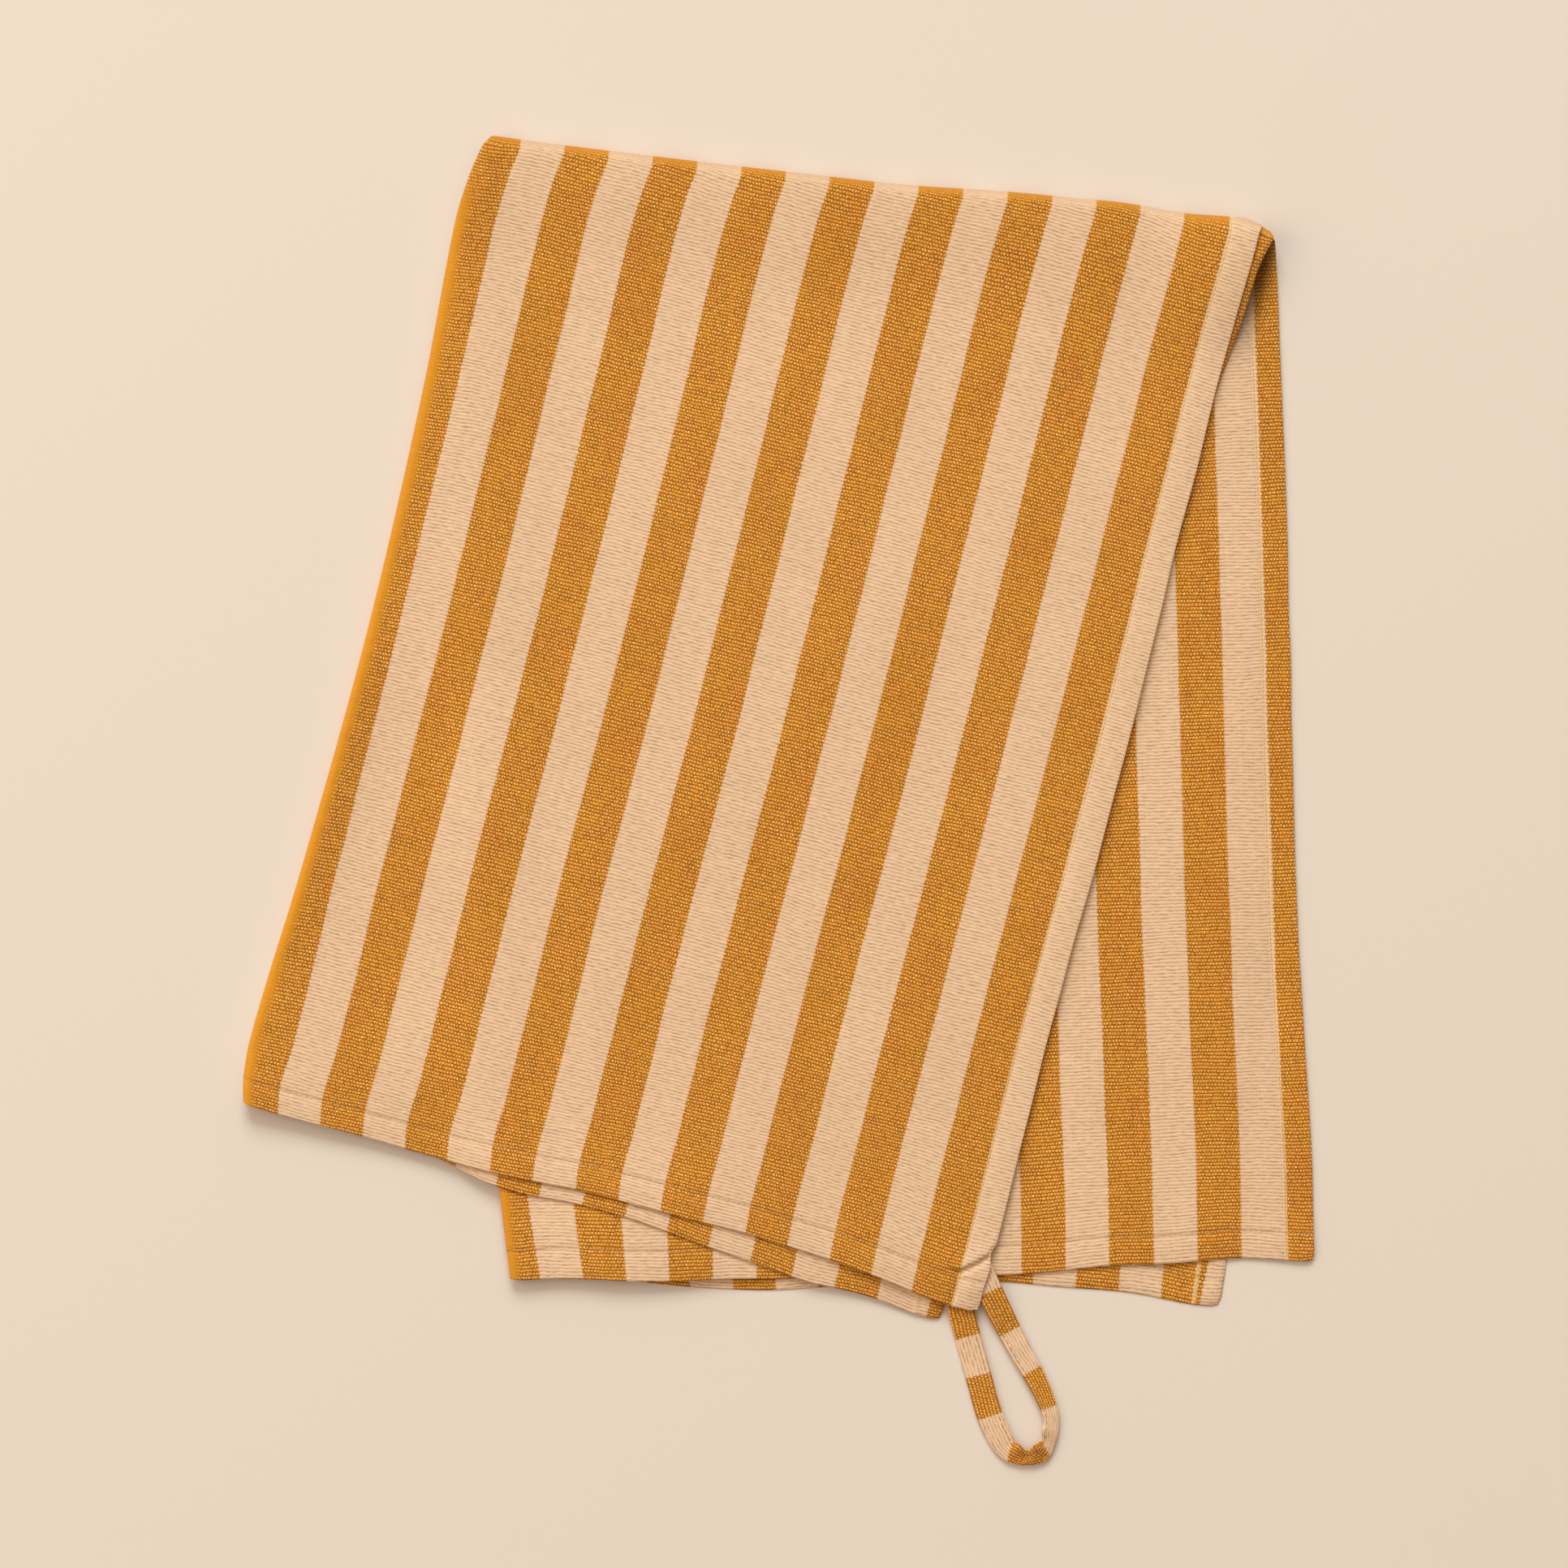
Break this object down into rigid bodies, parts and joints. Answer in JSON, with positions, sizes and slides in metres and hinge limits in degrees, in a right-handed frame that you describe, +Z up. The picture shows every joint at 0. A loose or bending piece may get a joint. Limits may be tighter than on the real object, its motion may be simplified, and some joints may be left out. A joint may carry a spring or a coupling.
{
  "type": "folded tea towel",
  "caption": "Striped plain-weave cotton tea towel, folded lengthwise and then crosswise so that its layers lie splayed, with a narrow tape loop at one corner to hang it by.",
  "frame": {"origin": "centre of the folded towel and its loop as seen from above, on the surface that the towel lies on", "axes": "+Z up from the surface, +Y up the towel from its loose end hems to the crosswise fold, +X to the right as it is seen from above"},
  "size_m": [0.3476, 0.4335, 0.0085],
  "materials": {
    "striped_cotton": "matte",
    "striped_tape": "matte"
  },
  "bodies": {
    "root": {"towel": "striped_cotton", "hanging_loop": "striped_tape"}
  },
  "joints": []
}
